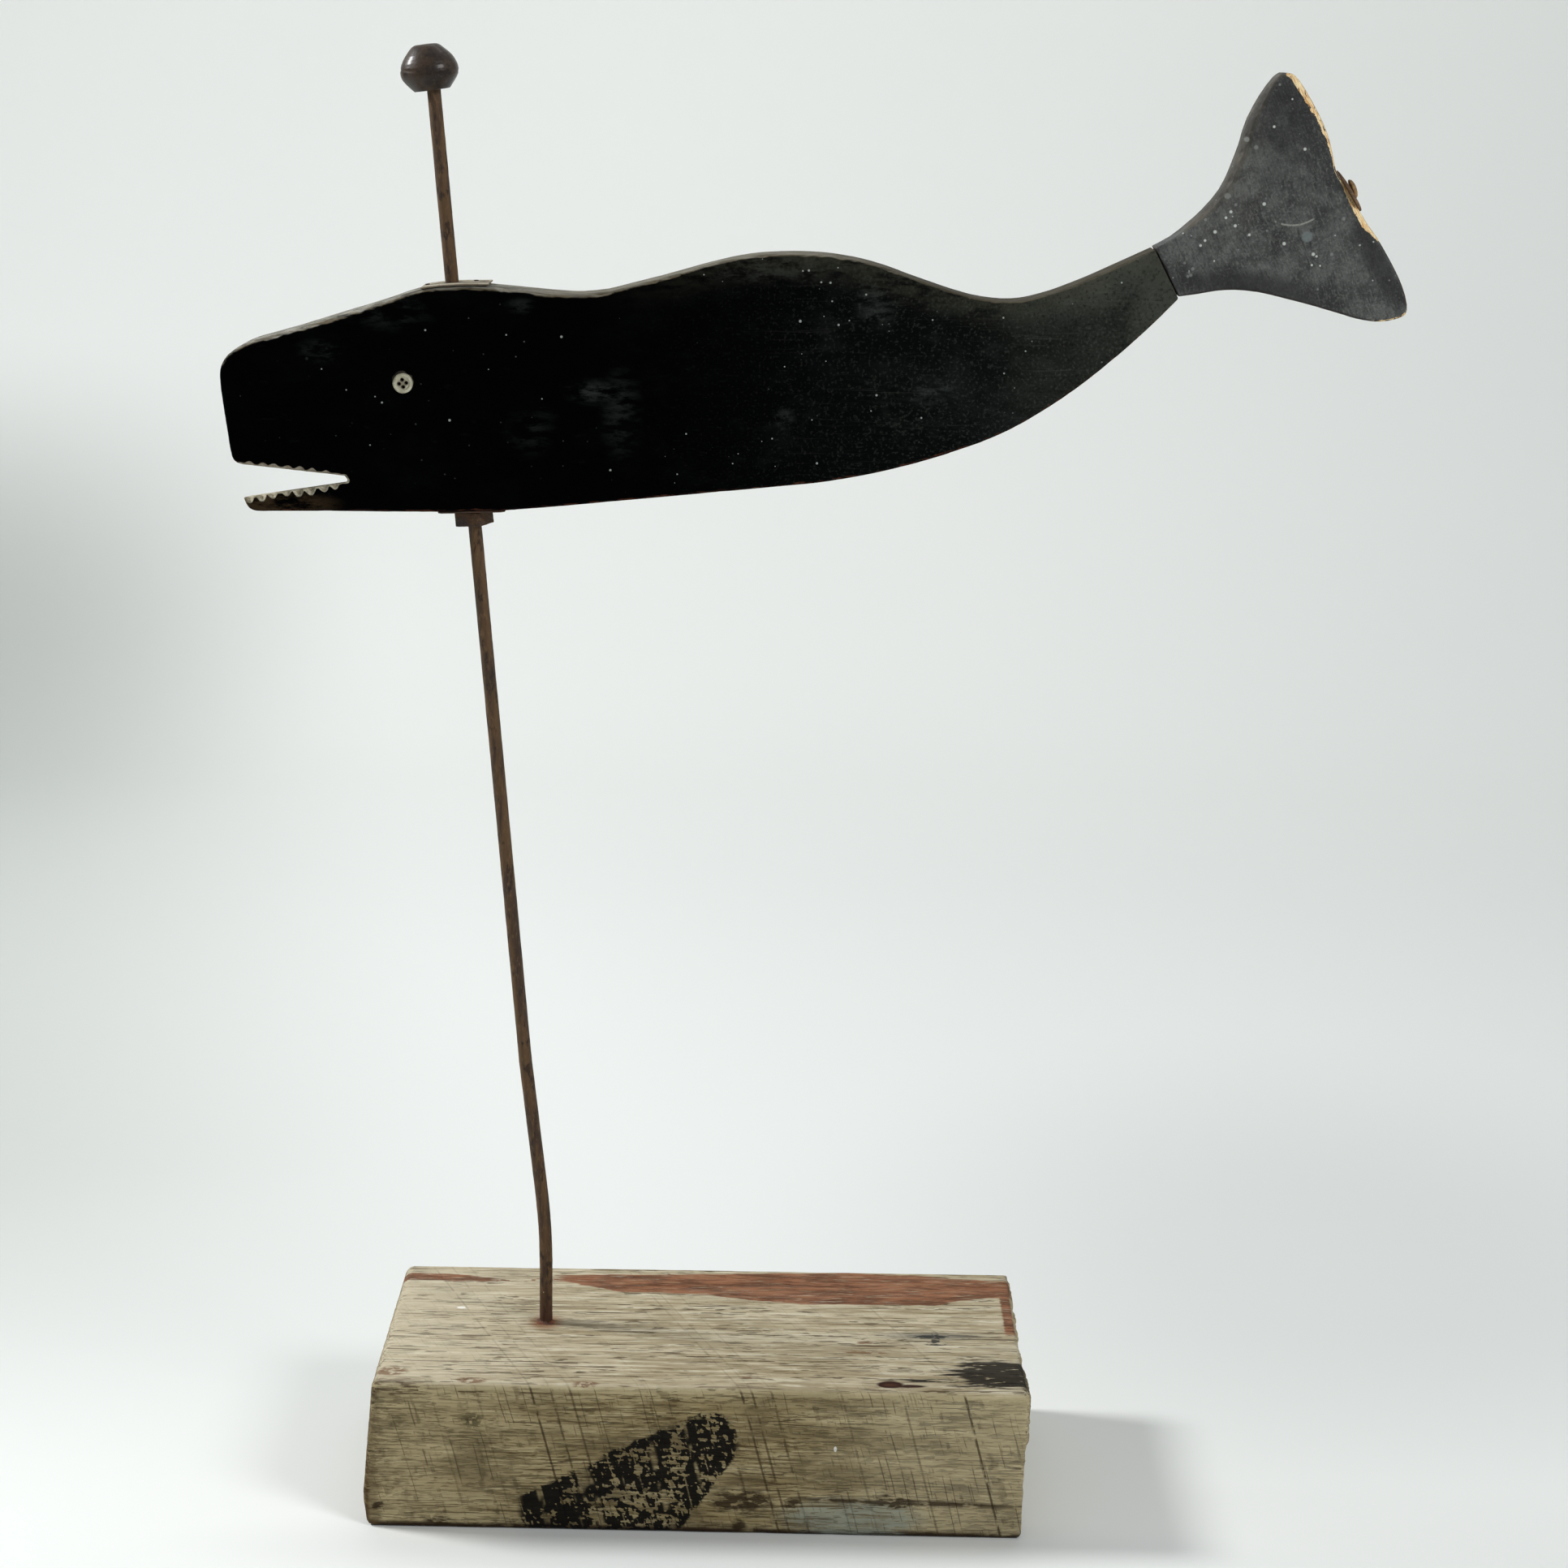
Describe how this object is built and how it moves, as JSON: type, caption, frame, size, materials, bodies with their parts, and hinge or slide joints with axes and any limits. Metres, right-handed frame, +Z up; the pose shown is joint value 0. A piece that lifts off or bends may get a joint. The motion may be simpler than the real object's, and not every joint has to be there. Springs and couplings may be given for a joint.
{
  "type": "whale weathervane",
  "caption": "Folk-art whale weathervane: a flat painted wooden whale with a butt-jointed fluke turns on a bent iron rod that stands in a sawn timber block.",
  "frame": {"origin": "underside of the timber block, on the axis of the rod's upright foot", "axes": "+X towards the whale's tail, +Y towards the back of the block (the whale's right side), +Z up"},
  "size_m": [0.6437, 0.178, 0.8209],
  "materials": {
    "block_wood": "weathered sawn timber with old paint marks",
    "rod_iron": "even brown rust",
    "nut_iron": "dark rust",
    "knob_iron": "handled dark iron, half gloss",
    "whale_paint": "old black paint on pine, worn grey along the top",
    "fluke_paint": "old black paint on pine, bare wood at the trailing edge",
    "bolt_iron": "rust",
    "washer_iron": "rust",
    "plate_painted": "chalky grey-brown paint",
    "plate_iron": "dark rust",
    "nail_iron": "dark rust",
    "button": "dulled cream, grey with dirt"
  },
  "bodies": {
    "stand": {"base_block": "block_wood", "spindle_rod": "rod_iron", "support_nut": "nut_iron", "finial_knob": "knob_iron"},
    "vane": {"whale_body": "whale_paint", "tail_fluke": "fluke_paint", "tail_bolt": "bolt_iron", "tail_washer": "washer_iron", "top_plate": "plate_painted", "bottom_plate": "plate_iron", "top_plate_nails": "nail_iron", "bottom_plate_nails": "nail_iron", "left_eye_button": "button", "right_eye_button": "button"}
  },
  "joints": [
    {"name": "whale_spin", "type": "hinge", "parent": "stand", "child": "vane", "pos_m": [-0.01151, 0, 0.249], "axis": [-0.0863, 0, 0.9963], "continuous": true}
  ]
}
